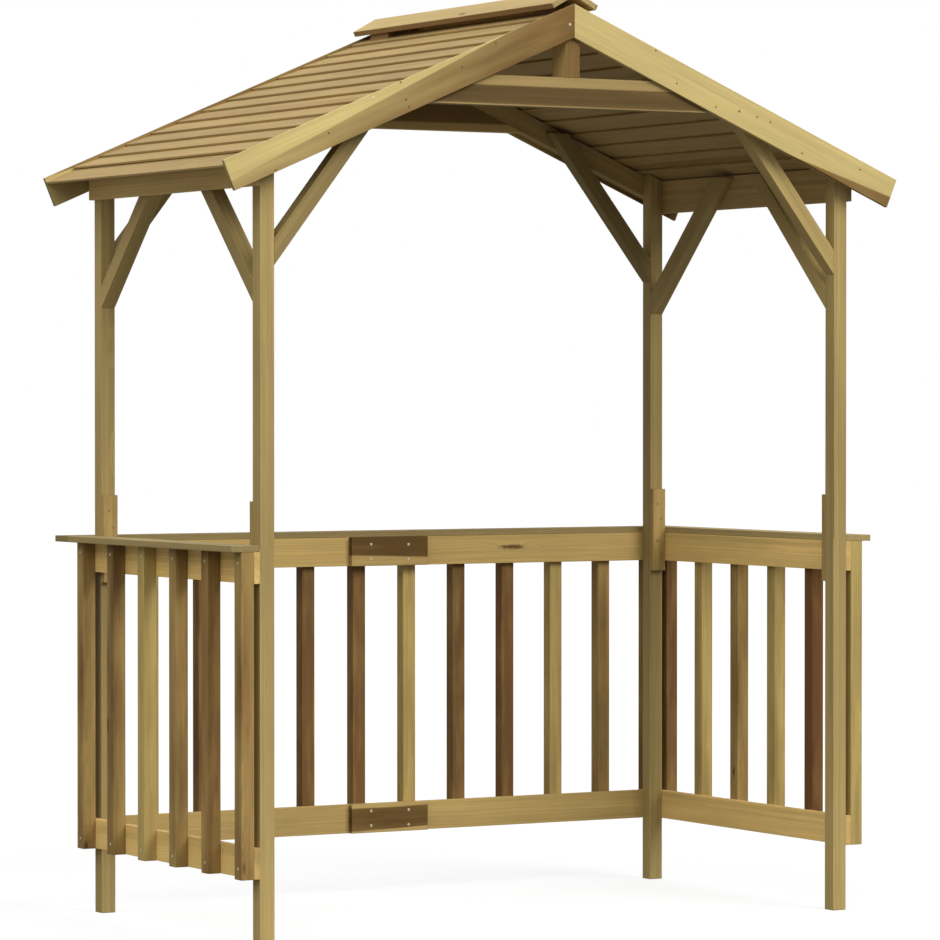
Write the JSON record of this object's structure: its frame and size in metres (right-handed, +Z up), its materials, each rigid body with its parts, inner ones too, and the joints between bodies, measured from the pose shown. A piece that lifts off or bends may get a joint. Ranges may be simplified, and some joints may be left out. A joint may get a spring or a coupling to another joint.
{
  "type": "garden gazebo",
  "caption": "Open timber garden gazebo with a gable roof of lapped boards, slat railings on three sides and a narrow counter along the top of the railings.",
  "frame": {"origin": "on the ground, in the middle of the box around the whole gazebo", "axes": "+Z up, +X to the right and +Y to the back, seen from the open front"},
  "size_m": [2.084, 1.128, 2.5],
  "materials": {
    "post_timber": "planed pressure-treated softwood, greenish yellow, matt",
    "gable_timber": "planed pressure-treated softwood with a light sapwood band, matt",
    "barge_board": "planed pressure-treated softwood, half sapwood and half heartwood, matt",
    "roof_board": "sawn pressure-treated softwood, warm tan, matt",
    "rail_board": "planed pressure-treated softwood, brown heartwood, matt",
    "slat_timber": "planed pressure-treated softwood, brown and yellow pieces mixed, matt",
    "counter_board": "planed pressure-treated softwood, matt"
  },
  "bodies": {
    "root": {"front_left_lower_post": "post_timber", "front_right_lower_post": "post_timber", "back_left_lower_post": "post_timber", "back_right_lower_post": "post_timber", "front_left_upper_post": "post_timber", "front_right_upper_post": "post_timber", "back_left_upper_post": "post_timber", "back_right_upper_post": "post_timber", "front_left_post_splice": "rail_board", "front_right_post_splice": "rail_board", "back_left_post_splice": "rail_board", "back_right_post_splice": "rail_board", "left_plate": "gable_timber", "right_plate": "gable_timber", "front_left_side_brace": "post_timber", "front_right_side_brace": "post_timber", "back_left_side_brace": "post_timber", "back_right_side_brace": "post_timber", "front_left_gable_brace": "post_timber", "front_right_gable_brace": "post_timber", "back_left_gable_brace": "post_timber", "back_right_gable_brace": "post_timber", "front_left_rafter": "gable_timber", "front_right_rafter": "gable_timber", "back_left_rafter": "gable_timber", "back_right_rafter": "gable_timber", "front_tie": "gable_timber", "back_tie": "gable_timber", "front_king_post": "gable_timber", "back_king_post": "gable_timber", "front_left_barge": "barge_board", "front_right_barge": "barge_board", "back_left_barge": "barge_board", "back_right_barge": "barge_board", "left_roof_boards": "roof_board", "right_roof_boards": "roof_board", "left_ridge_cap": "roof_board", "right_ridge_cap": "roof_board", "ridge_blocks": "roof_board", "left_top_rail": "rail_board", "left_bottom_rail": "rail_board", "right_top_rail": "rail_board", "right_bottom_rail": "rail_board", "back_top_rail": "rail_board", "back_bottom_rail": "rail_board", "back_top_splice": "rail_board", "back_bottom_splice": "rail_board", "left_slats": "slat_timber", "right_slats": "slat_timber", "back_slats_row": "slat_timber", "left_counter": "counter_board", "right_counter": "counter_board", "back_counter": "counter_board"}
  },
  "joints": []
}
